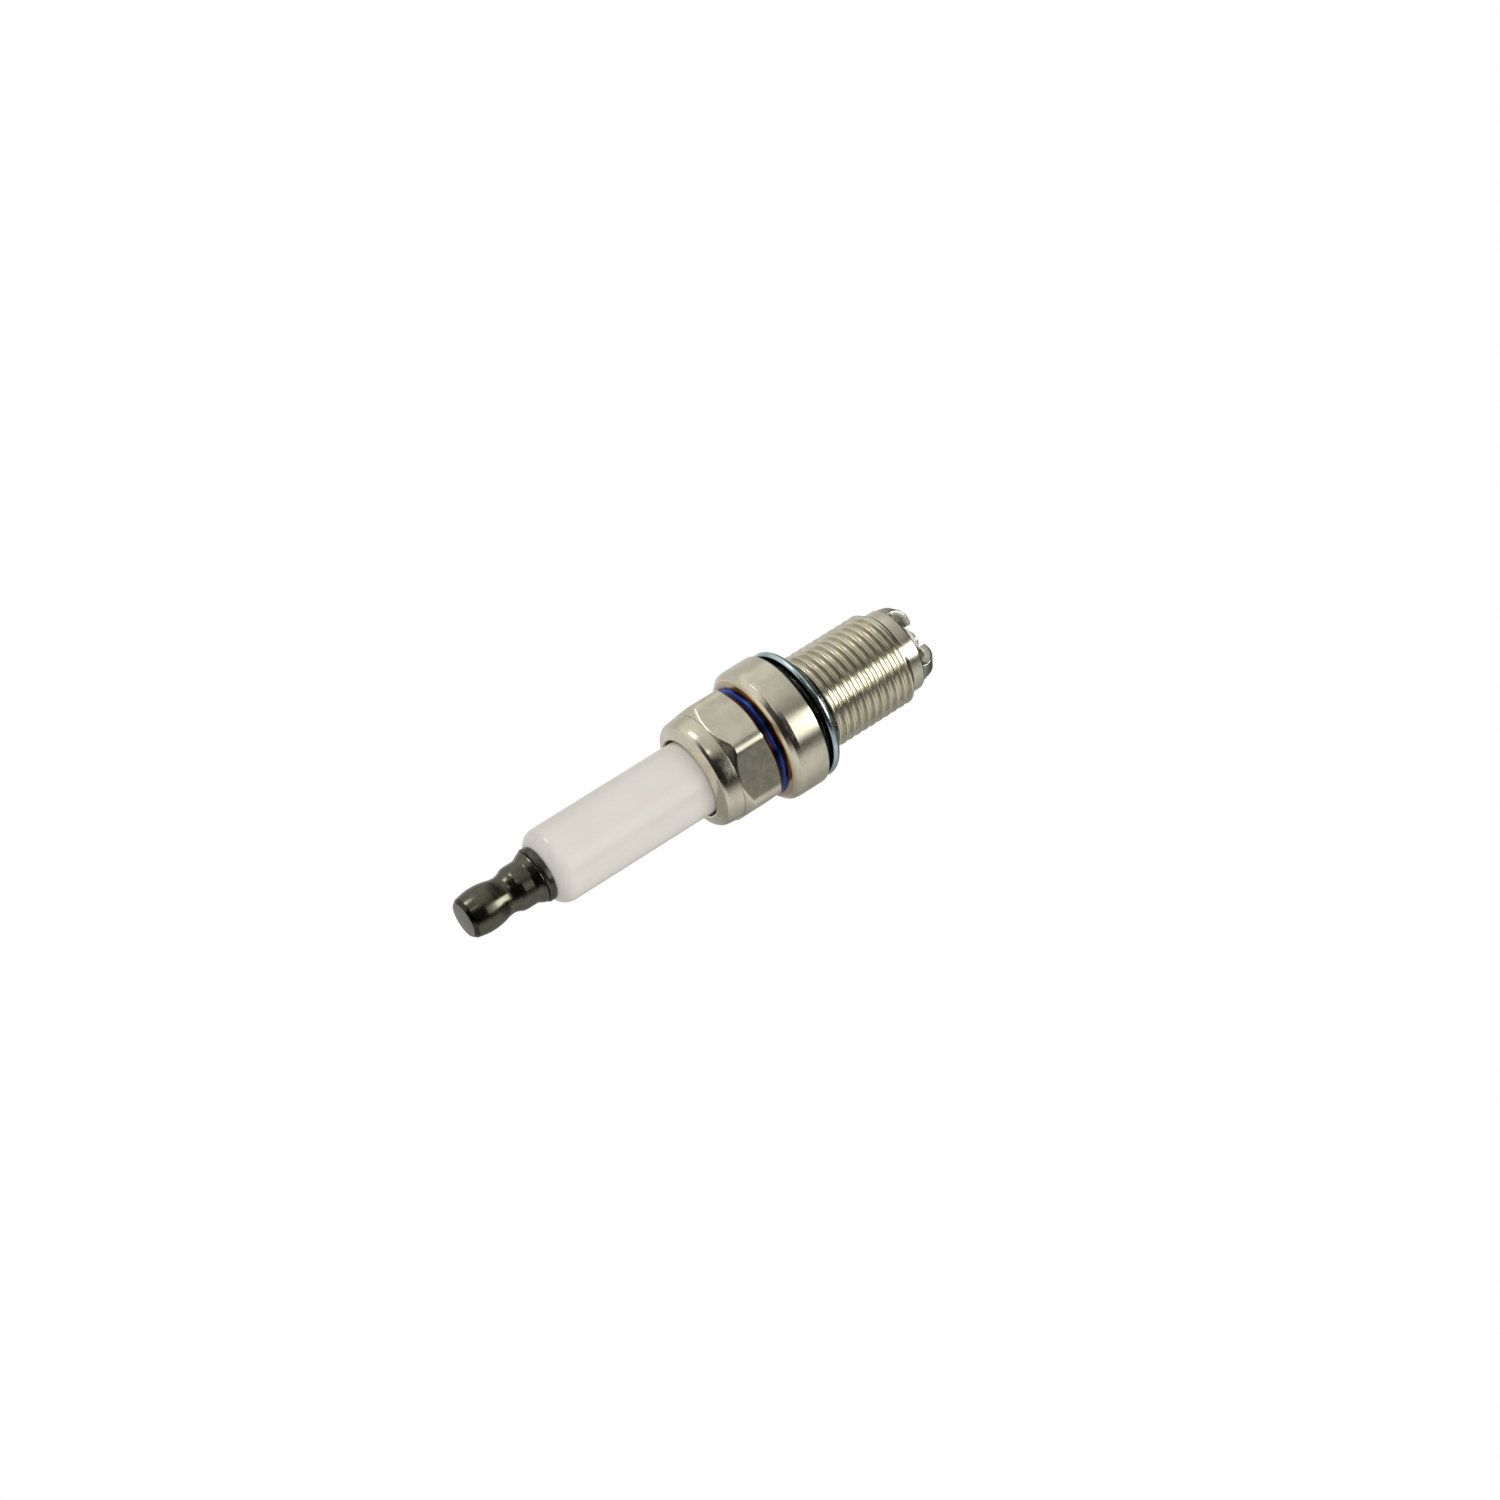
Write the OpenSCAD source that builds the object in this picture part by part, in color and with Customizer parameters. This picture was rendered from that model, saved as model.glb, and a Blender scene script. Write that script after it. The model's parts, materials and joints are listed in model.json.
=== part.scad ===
// Spark plug with a gasket seat, a screw-on terminal nut and three side ground electrodes.
// Millimetres. The Z axis is the plug's axis and +Z points to the terminal.
// z = 0 is the shell's gasket seat face.

/* [Thread] */
// Nominal diameter of the mounting thread
thread_d = 14; // [13.8:0.1:14.2]
// Thread pitch
pitch = 1.25; // [1:0.25:1.5]
// Reach, from the gasket seat to the shell's end
reach = 19; // [17.5:0.5:21]
// Distance from the gasket seat to the first full thread crest
thread_start = 3.5; // [3.5:0.1:4.2]

/* [Shell] */
// Hexagon, across flats
hex_af = 16; // [15.8:0.1:16.4]
// Hexagon, across its turned corners
hex_corner_d = 17.8; // [17.4:0.1:18.4]
// Height of the hexagon's lower face above the seat
hex_z = 7.4; // [7.3:0.1:7.8]
// Height of the hexagon
hex_h = 5.85; // [5.6:0.05:6]
// Diameter of the seat collar
collar_d = 19.4; // [19:0.1:20]
// Height of the seat collar's cylinder
collar_h = 4.5; // [4.2:0.1:4.8]
// Height of the crimped lip's top above the seat
lip_z = 16.4; // [16.3:0.1:16.8]

/* [Gasket] */
// Outer diameter of the folded gasket
gasket_d = 18.8; // [18:0.1:19.2]
// Thickness of the gasket before it is crushed
gasket_t = 1.2; // [1.1:0.05:1.3]
// Angle at which the loose gasket hangs from the seat
gasket_tilt = 2.4; // [0:0.1:4]

/* [Insulator] */
// Diameter of the insulator above the shell
insulator_d = 10.8; // [10.6:0.05:10.9]
// Height of the insulator's top face above the seat
insulator_z = 40.9; // [40:0.1:42]
// Length of the insulator's nose past the shell's end
nose_past_shell = 2.3; // [1.8:0.1:2.5]

/* [Terminal] */
// Overall height of the plug above the seat
height_above_seat = 53; // [52.5:0.1:54]
// Diameter of the terminal nut's two lands
terminal_d = 6.35; // [6.2:0.05:6.5]
// Diameter of the terminal nut's waist
waist_d = 5.4; // [5.2:0.1:5.6]
// Nominal diameter of the terminal stud's thread
stud_d = 4; // [3.9:0.05:4.1]

/* [Electrodes] */
// Diameter of the centre electrode
centre_d = 2.5; // [2.2:0.1:2.5]
// Distance of the electrode tips past the shell's end
tip_past_shell = 2.9; // [2.7:0.1:3.2]
// Width of a ground electrode
ground_w = 2.4; // [2:0.1:2.7]
// Thickness of a ground electrode
ground_t = 1.2; // [1.1:0.05:1.2]
// Spark gap between the centre electrode and a ground electrode
spark_gap = 1.4; // [1.4:0.1:1.6]

/* [Hidden] */
$fn = 96;

// Thread form: crest flat pitch/8, flanks at 30 degrees
thread_ease = 0.05;
thread_r = thread_d / 2 - thread_ease;
neck_r = thread_r - 0.75;
pilot_r = thread_r - 0.85;
pilot_h = 2;
end_chamfer = 0.3;
seat_chamfer = 0.5;
thread_room = reach - pilot_h - 0.2 - thread_start;
crests = floor(thread_room / pitch) + 1;

// Shell outside
collar_r = collar_d / 2;
shoulder_r = 8.6;
shoulder_z = hex_z - 1.4;
groove_r = 7.2;
groove_h = hex_z - shoulder_z;
lip_root_r = 7.9;
lip_edge_z = lip_z - 1.3;
lip_edge_arc = 0.9;
lip_edge_r = 6.78;
lip_inner_r = 5.75;
hex_top = hex_z + hex_h;
hex_bevel_angle = [45, 30];

// Shell inside
shell_bore_r = 6.35;
leg_bore_r = 4.75;
ledge_r = 3.9;
throat_z = [1, -0.4];
ledge_z = [-8, -8.5];
ledge_h = 1.5;
lip_inner_z = [14.9, 15.55];

// Insulator
insulator_r = insulator_d / 2;
body_r = 6.2;
body_shoulder_z = [10.2, 11.05];
leg_r = 4.6;
leg_z = [1.15, -0.25];
leg_seat_z = [-7.55, -8.05];
nose_r = 3.75;
nose_tip_r = 2.2;
nose_tip_z = -reach - nose_past_shell;
nose_edge = 0.3;
top_round = 2.2;
top_round_end = 70;
bore_r = 2.1;
nose_bore_r = 1.28;
bore_seat_z = [-5.6, -6.3];

// Conductive column inside the insulator
stud_end_z = 11;
stud_knurl_z = 14;
upper_seal_z = [9, 15];
lower_seal_top = -1;
stud_shank_r = 1.75;
stud_knurl_r = 1.95;
stud_flange_r = 3.92;
stud_flange_h = 1.05;
stud_ease = 0.03;
stud_pitch = 0.7;
stud_r = stud_d / 2 - stud_ease;
stud_core_r = stud_r - 0.4;
stud_top = height_above_seat - 2.4;
stud_crests = 10;

// Terminal nut
nut_z = insulator_z + stud_flange_h;
nut_r = terminal_d / 2;
nut_bore_r = stud_r + 0.05;
nut_bore_top = stud_top + 0.5;
nut_flare_r = 3.68;
lower_land_z = [nut_z + 1.2, nut_z + 3.2];
upper_land_z = [height_above_seat - 3.4, height_above_seat - 2.1];
waist_r = waist_d / 2;
waist_z = (lower_land_z[1] + upper_land_z[0]) / 2 - 0.55;
nut_tip_r = 2.45;

// Packing between the insulator and the shell
packing_mid_r = (insulator_r + shell_bore_r) / 2;
wire_r = (shell_bore_r - insulator_r) / 2 - 0.02;
lower_ring_z = 11.25;
upper_ring_z = 14.4;

// Clearance between the seat and the gasket where they touch
gasket_ease = 0.03;

// Electrodes
centre_r = centre_d / 2;
tip_z = -reach - tip_past_shell;
head_r = 1.95;
head_z = [-4.9, -4.5];
core_r = 0.75;
core_end_z = tip_z + 2;
ground_outer_r = 5.85;
ground_bend_r = tip_past_shell - 0.2;
ground_tip_r = centre_r + spark_gap;
ground_count = 3;
first_ground_angle = 95;

// Points on an arc, from angle a0 to angle a1
function arc(centre, r, a0, a1, steps = 12) = [
    for (i = [0 : steps])
        let (a = a0 + (a1 - a0) * i / steps)
            centre + r * [cos(a), sin(a)]
];

// Outline of thread crests on a shaft, from the highest crest down
function crest_outline(crest_r, p, first_z, count) = [
    for (i = [0 : count - 1])
        let (z = first_z - i * p, flat = p / 16, depth = 0.5413 * p, flank = depth * tan(30))
            each [
                [crest_r - depth, z + flat + flank],
                [crest_r, z + flat],
                [crest_r, z - flat],
                [crest_r - depth, z - flat - flank]
            ]
];

// The points of an outline in the opposite order
function reverse(list) = [for (i = [len(list) - 1 : -1 : 0]) list[i]];

// Height at a radius on a cone that runs from radius r0 at z[0] to radius r1 at z[1]
function on_line(r, r0, r1, z) = z[0] + (z[1] - z[0]) * (r - r0) / (r1 - r0);

module shell_turned() {
    rotate_extrude()
        polygon(concat(
            [
                [leg_bore_r, -reach],
                [pilot_r - end_chamfer, -reach],
                [pilot_r, -reach + end_chamfer],
                [pilot_r, -reach + pilot_h]
            ],
            reverse(crest_outline(thread_r, pitch, -thread_start, crests)),
            [
                [neck_r, -thread_start + pitch / 2],
                [neck_r, 0],
                [collar_r - seat_chamfer, 0],
                [collar_r, seat_chamfer],
                [collar_r, collar_h],
                [shoulder_r, shoulder_z]
            ],
            reverse(arc([groove_r + groove_h / 2, hex_z - groove_h / 2], groove_h / 2, 90, 270)),
            [
                [lip_root_r, hex_z],
                [lip_root_r, hex_top + 0.35],
                [lip_root_r - 0.1, lip_edge_z - 0.3]
            ],
            arc([lip_edge_r, lip_edge_z], lip_edge_arc, 8, 64),
            [
                [lip_inner_r + 0.12, lip_z],
                [lip_inner_r, lip_z - 0.12],
                [lip_inner_r, lip_inner_z[1]],
                [shell_bore_r, lip_inner_z[0]],
                [shell_bore_r, throat_z[0]],
                [leg_bore_r, throat_z[1]],
                [leg_bore_r, ledge_z[0]],
                [ledge_r, ledge_z[1]],
                [ledge_r, ledge_z[1] - ledge_h],
                [leg_bore_r, ledge_z[1] - ledge_h - 0.8]
            ]
        ));
}

// One bevelled corner of the hexagon, at its upper or lower end
module corner_bevel(angle) {
    run = hex_corner_d / 2 + 1 - hex_af / 2;
    rotate([90, 0, 0])
        linear_extrude(hex_af, center = true)
            polygon([
                [hex_af / 2, hex_h / 2],
                [hex_af / 2, hex_h],
                [hex_af / 2 + run, hex_h],
                [hex_af / 2 + run, hex_h / 2 - run * tan(angle)]
            ]);
}

module hexagon() {
    translate([0, 0, hex_z + hex_h / 2])
        difference() {
            intersection() {
                rotate(30)
                    cylinder(h = hex_h, r = hex_af / 2 / cos(30), $fn = 6, center = true);
                cylinder(h = hex_h, r = hex_corner_d / 2, center = true);
            }
            cylinder(h = hex_h + 1, r = (shell_bore_r + lip_root_r) / 2, center = true);
            for (corner = [0 : 5], end = [0, 1])
                rotate(30 + 60 * corner)
                    mirror([0, 0, end])
                        corner_bevel(hex_bevel_angle[end]);
        }
}

module shell() {
    color([0.78, 0.77, 0.68])
        union() {
            shell_turned();
            hexagon();
        }
}

module insulator() {
    color([0.93, 0.91, 0.88])
        rotate_extrude()
            polygon(concat(
                [
                    [nose_bore_r, nose_tip_z],
                    [nose_tip_r - nose_edge, nose_tip_z],
                    [nose_tip_r, nose_tip_z + nose_edge],
                    [nose_r - 0.05, ledge_z[1] - ledge_h],
                    [nose_r, leg_seat_z[1]],
                    [leg_r, leg_seat_z[0]],
                    [leg_r, leg_z[1]],
                    [body_r, leg_z[0]],
                    [body_r, body_shoulder_z[0]],
                    [insulator_r, body_shoulder_z[1]]
                ],
                arc([insulator_r - top_round, insulator_z - top_round], top_round, 0, top_round_end),
                [
                    [stud_flange_r - 0.3, insulator_z],
                    [bore_r, insulator_z],
                    [bore_r, bore_seat_z[0]],
                    [nose_bore_r, bore_seat_z[1]]
                ]
            ));
}

module terminal_nut() {
    color([0.2, 0.2, 0.15])
        rotate_extrude()
            polygon([
                [nut_bore_r, nut_z],
                [nut_flare_r - 0.1, nut_z],
                [nut_flare_r, nut_z + 0.1],
                [nut_flare_r - 0.08, nut_z + 0.4],
                [nut_r + 0.12, lower_land_z[0] - 0.3],
                [nut_r, lower_land_z[0]],
                [nut_r, lower_land_z[1]],
                [waist_r + 0.2, lower_land_z[1] + 0.45],
                [waist_r, waist_z - 0.3],
                [waist_r, waist_z + 0.3],
                [nut_r - 0.1, upper_land_z[0] - 0.7],
                [nut_r, upper_land_z[0]],
                [nut_r, upper_land_z[1]],
                [nut_r - 0.3, height_above_seat - 0.5],
                [nut_tip_r, height_above_seat],
                [0, height_above_seat],
                [0, nut_bore_top + 1.1],
                [nut_bore_r, nut_bore_top]
            ]);
}

// Stud with its knurled end in the glass seal, its flange on the insulator and its thread in the nut
module terminal_stud() {
    first_crest = stud_top - 0.6;
    color([0.6, 0.6, 0.58])
        rotate_extrude()
            polygon(concat(
                [
                    [0, stud_end_z],
                    [stud_knurl_r - 0.3, stud_end_z],
                    [stud_knurl_r, stud_end_z + 0.3],
                    [stud_knurl_r, stud_knurl_z],
                    [stud_shank_r, stud_knurl_z + 0.3],
                    [stud_shank_r, insulator_z],
                    [stud_flange_r - 0.1, insulator_z],
                    [stud_flange_r, insulator_z + 0.1],
                    [stud_flange_r, nut_z - 0.25],
                    [stud_flange_r - 0.25, nut_z],
                    [stud_core_r, nut_z]
                ],
                reverse(crest_outline(stud_r, stud_pitch, first_crest, stud_crests)),
                [
                    [stud_core_r, stud_top - 0.1],
                    [stud_core_r - 0.1, stud_top],
                    [0, stud_top]
                ]
            ));
}

module bore_plug(z_low, z_high) {
    translate([0, 0, z_low])
        cylinder(h = z_high - z_low, r = bore_r);
}

module upper_glass_seal() {
    color([0.35, 0.3, 0.28])
        difference() {
            bore_plug(upper_seal_z[0], upper_seal_z[1]);
            terminal_stud();
        }
}

module resistor() {
    color([0.15, 0.15, 0.16])
        bore_plug(lower_seal_top, upper_seal_z[0]);
}

module lower_glass_seal() {
    color([0.35, 0.3, 0.28])
        difference() {
            bore_plug(bore_seat_z[0], lower_seal_top);
            centre_electrode();
            centre_electrode_core();
        }
}

module centre_electrode() {
    seat_z = function (r) on_line(r, bore_r, nose_bore_r, bore_seat_z);
    color([0.6, 0.58, 0.54])
        rotate_extrude()
            polygon([
                [0, tip_z],
                [centre_r - 0.12, tip_z],
                [centre_r, tip_z + 0.12],
                [centre_r, seat_z(centre_r)],
                [head_r, seat_z(head_r)],
                [head_r, head_z[0]],
                [head_r - 0.4, head_z[1]],
                [core_r, head_z[1]],
                [core_r, core_end_z],
                [0, core_end_z - 0.3]
            ]);
}

module centre_electrode_core() {
    color([0.78, 0.45, 0.3])
        rotate_extrude()
            polygon([
                [0, core_end_z - 0.3],
                [core_r, core_end_z],
                [core_r, head_z[1]],
                [0, head_z[1]]
            ]);
}

// Wedge-section washer between the insulator's seat cone and the shell's ledge
module inner_seat_washer() {
    washer_r = [ledge_r + 0.1, leg_r - 0.02];
    upper_z = function (r) on_line(r, leg_r, nose_r, leg_seat_z);
    lower_z = function (r) on_line(r, leg_bore_r, ledge_r, ledge_z);
    color([0.7, 0.5, 0.35])
        rotate_extrude()
            polygon([
                [washer_r[0], lower_z(washer_r[0])],
                [washer_r[1], lower_z(washer_r[1])],
                [washer_r[1], upper_z(washer_r[1])],
                [washer_r[0], upper_z(washer_r[0])]
            ]);
}

module packing_ring(z) {
    color([0.5, 0.5, 0.5])
        rotate_extrude()
            translate([packing_mid_r, z])
                circle(r = wire_r);
}

module talc_fill() {
    color([0.88, 0.86, 0.8])
        rotate_extrude()
            difference() {
                translate([insulator_r, lower_ring_z])
                    square([shell_bore_r - insulator_r, upper_ring_z - lower_ring_z]);
                for (z = [lower_ring_z, upper_ring_z])
                    translate([packing_mid_r, z])
                        circle(r = wire_r);
            }
}

// Folded ring, captive because its hole is under the thread's size. It hangs from one point of its rim, at +Y.
module gasket() {
    half_t = gasket_t / 2;
    inner_r = thread_r - 0.2;
    inner_edge = 0.4;
    rim_r = gasket_d / 2 - half_t;
    color([0.67, 0.75, 0.8])
        translate([0, rim_r, -gasket_ease - half_t])
            rotate([gasket_tilt, 0, 0])
                translate([0, -rim_r, 0])
                    rotate_extrude()
                        polygon(concat(
                            arc([rim_r, 0], half_t, -90, 90, 16),
                            arc([inner_r + inner_edge, half_t - inner_edge], inner_edge, 90, 180, 6),
                            arc([inner_r + inner_edge, inner_edge - half_t], inner_edge, 180, 270, 6)
                        ));
}

// Strap welded to the shell's end and bent in to face the side of the centre electrode
module ground_electrode(i) {
    end_z = -reach;
    bend_centre = [ground_outer_r - ground_bend_r, tip_z + ground_bend_r];
    color([0.62, 0.61, 0.54])
        rotate(first_ground_angle + 360 / ground_count * i)
            translate([0, ground_w / 2, 0])
                rotate([90, 0, 0])
                    linear_extrude(ground_w)
                        polygon(concat(
                            [
                                [ground_outer_r - ground_t, end_z],
                                [ground_outer_r, end_z]
                            ],
                            arc(bend_centre, ground_bend_r, 0, -90),
                            [
                                [ground_tip_r, tip_z],
                                [ground_tip_r, tip_z + ground_t]
                            ],
                            arc(bend_centre, ground_bend_r - ground_t, -90, 0, 6)
                        ));
}

shell();
insulator();
terminal_nut();
terminal_stud();
upper_glass_seal();
resistor();
lower_glass_seal();
centre_electrode();
centre_electrode_core();
inner_seat_washer();
packing_ring(lower_ring_z);  // lower_packing_ring
talc_fill();
packing_ring(upper_ring_z);  // upper_packing_ring
gasket();
ground_electrode(0);  // ground_electrode_1
ground_electrode(1);  // ground_electrode_2
ground_electrode(2);  // ground_electrode_3
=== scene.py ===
import bpy
import json
import math
from mathutils import Matrix, Vector


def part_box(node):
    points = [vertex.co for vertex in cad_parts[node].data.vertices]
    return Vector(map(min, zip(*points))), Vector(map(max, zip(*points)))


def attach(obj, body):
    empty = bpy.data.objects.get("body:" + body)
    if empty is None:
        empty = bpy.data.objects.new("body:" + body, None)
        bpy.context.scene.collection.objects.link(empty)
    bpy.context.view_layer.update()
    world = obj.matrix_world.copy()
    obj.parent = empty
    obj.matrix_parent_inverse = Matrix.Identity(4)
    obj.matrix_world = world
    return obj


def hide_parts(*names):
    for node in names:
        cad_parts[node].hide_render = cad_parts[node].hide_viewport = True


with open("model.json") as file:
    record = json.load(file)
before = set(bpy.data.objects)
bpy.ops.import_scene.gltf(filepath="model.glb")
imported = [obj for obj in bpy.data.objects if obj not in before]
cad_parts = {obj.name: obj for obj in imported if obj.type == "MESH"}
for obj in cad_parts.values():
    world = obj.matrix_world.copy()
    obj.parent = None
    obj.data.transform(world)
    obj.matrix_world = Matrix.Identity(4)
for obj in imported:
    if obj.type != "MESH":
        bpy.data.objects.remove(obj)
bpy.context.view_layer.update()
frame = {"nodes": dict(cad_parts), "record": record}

# ---------------------------------------------------------------- sizes, in millimetres from the frame
MM = 0.001
MOUNTS = {m["name"]: m for m in frame["record"]["mounts"]}
GASKET_JOINT = next(j for j in frame["record"]["behaviour"]["joints"] if j["child"] == "gasket")


def box_mm(node):
    """Lowest and highest corner of a CAD node, in millimetres."""
    low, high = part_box(node)
    return low / MM, high / MM


SHELL_LOW, SHELL_HIGH = box_mm("shell")
INSULATOR_LOW, INSULATOR_HIGH = box_mm("insulator")
NUT_LOW, NUT_HIGH = box_mm("terminal_nut")
STUD_LOW, STUD_HIGH = box_mm("terminal_stud")
GASKET_HIGH = box_mm("gasket")[1]
TIP_LOW, TIP_HIGH = box_mm("centre_electrode")

SHELL_END = SHELL_LOW.z
LIP_TOP = SHELL_HIGH.z
COLLAR_R = SHELL_HIGH.x
THREAD_R = MOUNTS["shell_thread"]["dims"]["r_mm"]
HEX_R = MOUNTS["hex_flat_px"]["pos_m"][0] / MM
NUT_R = MOUNTS["terminal"]["dims"]["r_mm"]

SEGMENTS = 288          # divides by 12, so that the hexagon's corners fall on the grid
PITCH = 1.25
STUD_PITCH = 0.7
RIDGE_HALF_WIDTH = 0.39     # of a thread's ridge at its root, in pitches
FLANK_WIDTH = 0.29          # in pitches
FLANK_ROUNDING = 0.3        # share of the flank's height that follows a smooth curve


# ---------------------------------------------------------------- camera, first
CAMERA_TURN = 2.0       # degrees about the plug's axis, from -Y towards -X
CAMERA_RISE = 21.8      # degrees above the horizon
CAMERA_ROLL = -122.1    # degrees
CAMERA_AWAY = 0.500     # metres from the point aimed at
CAMERA_AIM = Vector((-1.0, 0.0, 6.95)) * MM
CAMERA_LENS = 90.26     # millimetres, on a 36 mm sensor


def add_camera():
    """The camera that matches the photograph: above the plug, looking down on it, and rolled over."""
    elevation = math.radians(CAMERA_RISE)
    roll = math.radians(CAMERA_ROLL)
    turn = math.radians(CAMERA_TURN)
    level = math.cos(elevation)
    back = Vector((-math.sin(turn) * level, -math.cos(turn) * level, math.sin(elevation)))
    side = Vector((math.cos(turn), -math.sin(turn), 0.0))
    above = back.cross(side)
    right = math.cos(roll) * side + math.sin(roll) * above
    up = -math.sin(roll) * side + math.cos(roll) * above
    data = bpy.data.cameras.new("camera")
    data.lens = CAMERA_LENS
    data.sensor_width = 36.0
    data.clip_start = 0.01
    data.clip_end = 20.0
    camera = bpy.data.objects.new("camera", data)
    bpy.context.scene.collection.objects.link(camera)
    rotation = Matrix((right, up, back)).transposed().to_4x4()
    camera.matrix_world = Matrix.Translation(CAMERA_AIM + back * CAMERA_AWAY) @ rotation
    bpy.context.scene.camera = camera


# ---------------------------------------------------------------- mesh helpers
def arc(r, z, radius, start, end, steps=8):
    """Points on an arc in the (radius, height) plane, angles in degrees."""
    points = []
    for i in range(steps + 1):
        angle = math.radians(start + (end - start) * i / steps)
        points.append((r + radius * math.cos(angle), z + radius * math.sin(angle)))
    return points


def filleted(corners, steps=5):
    """An outline with rounded corners, from (r, z, fillet radius) or plain (r, z) points.
    The ends stay sharp."""
    out = []
    for i, corner in enumerate(corners):
        here = Vector(corner[:2])
        fillet = corner[2] if len(corner) > 2 else 0.0
        if not fillet or i in (0, len(corners) - 1):
            out.append(tuple(here))
            continue
        before = Vector(corners[i - 1][:2]) - here
        after = Vector(corners[i + 1][:2]) - here
        half = before.angle(after) / 2
        reach = min(fillet / math.tan(half), 0.48 * before.length, 0.48 * after.length)
        start = here + before.normalized() * reach
        end = here + after.normalized() * reach
        for k in range(steps + 1):
            t = k / steps
            out.append(tuple((1 - t) ** 2 * start + 2 * t * (1 - t) * here + t * t * end))
    return out


def mesh_object(name, vertices, faces, sharp_degrees=32):
    """A smooth-shaded mesh in metres from points in millimetres, with its sharper edges marked."""
    mesh = bpy.data.meshes.new(name)
    mesh.from_pydata([Vector(v) * MM for v in vertices], [], faces)
    mesh.validate()
    mesh.shade_smooth()
    mesh.set_sharp_from_angle(angle=math.radians(sharp_degrees))
    piece = bpy.data.objects.new(name, mesh)
    bpy.context.scene.collection.objects.link(piece)
    return piece


def rows_between(r, low, high, count):
    """Evenly spaced points between two heights at one radius, without the two ends."""
    points = []
    for k in range(1, count):
        points.append((r, low + (high - low) * k / count))
    return points


def lathe(name, outline, shape=None, segments=SEGMENTS, sharp_degrees=32):
    """Turns an outline about Z. It either closes on itself or starts and ends on the axis.
    shape(i, r, z, angle) may change a point's radius."""
    on_axis = outline[0][0] == 0.0
    vertices, faces, rings = [], [], []
    for i, (r, z) in enumerate(outline):
        if on_axis and i in (0, len(outline) - 1):
            rings.append([len(vertices)] * segments)
            vertices.append((0.0, 0.0, z))
            continue
        rings.append(list(range(len(vertices), len(vertices) + segments)))
        for k in range(segments):
            angle = 2 * math.pi * k / segments
            radius = shape(i, r, z, angle) if shape else r
            vertices.append((radius * math.cos(angle), radius * math.sin(angle), z))
    pairs = list(zip(rings, rings[1:]))
    if not on_axis:
        pairs.append((rings[-1], rings[0]))
    for low, high in pairs:
        for k in range(segments):
            n = (k + 1) % segments
            face = list(dict.fromkeys((low[k], low[n], high[n], high[k])))
            faces.append(face)
    return mesh_object(name, vertices, faces, sharp_degrees)


def soften(piece, first, last):
    """Clears the sharp edges between two vertex indexes, as on a thread, whose ridges cross the grid."""
    for edge in piece.data.edges:
        if all(first <= index < last for index in edge.vertices):
            edge.use_edge_sharp = False


def smooth_step(x):
    """From 0 to 1 as x goes from 0 to 1, level at both ends."""
    x = min(max(x, 0.0), 1.0)
    return x * x * (3 - 2 * x)


def thread_form(turns):
    """Height of a rolled thread, 0 at the root and 1 at the crest, for a phase in turns."""
    x = abs((turns + 0.5) % 1.0 - 0.5)
    flank = min(max((RIDGE_HALF_WIDTH - x) / FLANK_WIDTH, 0.0), 1.0)
    return (1 - FLANK_ROUNDING) * flank + FLANK_ROUNDING * smooth_step(flank)


def smooth_min(a, b, blend):
    """The smaller of two values, rounded off where they are nearly equal."""
    h = max(blend - abs(a - b), 0.0) / blend
    return min(a, b) - h * h * blend / 4


# ---------------------------------------------------------------- the shell
NECK_R = THREAD_R - 0.75
PILOT_R = THREAD_R - 0.85
THREAD_DEPTH = 0.5413 * PITCH
THREAD_ROOT_R = THREAD_R - THREAD_DEPTH
ROWS_PER_TURN = 24
THREAD_TOP = -2.6
THREAD_END = SHELL_END + 1.9
FIRST_CREST = -3.5
SHOULDER_R, SHOULDER_Z = 8.6, 6.0
COLLAR_TOP = 4.5
GROOVE_R = 7.5
HEX_LOW, HEX_HIGH = 7.4, 13.25
HEX_CORNER_R = 8.9
HEX_BEVEL = HEX_CORNER_R - HEX_R        # 45 degrees at the top
LOWER_BEVEL = HEX_BEVEL * math.tan(math.radians(30))        # 30 degrees underneath
HEX_ROWS = 60
LIP_R = 7.95
LIP_BORE_R = 5.75       # where the lip closes on the insulator
BODY_BORE_R = 6.35
LEG_BORE_R = 4.75
LEDGE_R = 3.9           # the ledge under the inner seat washer


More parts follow.
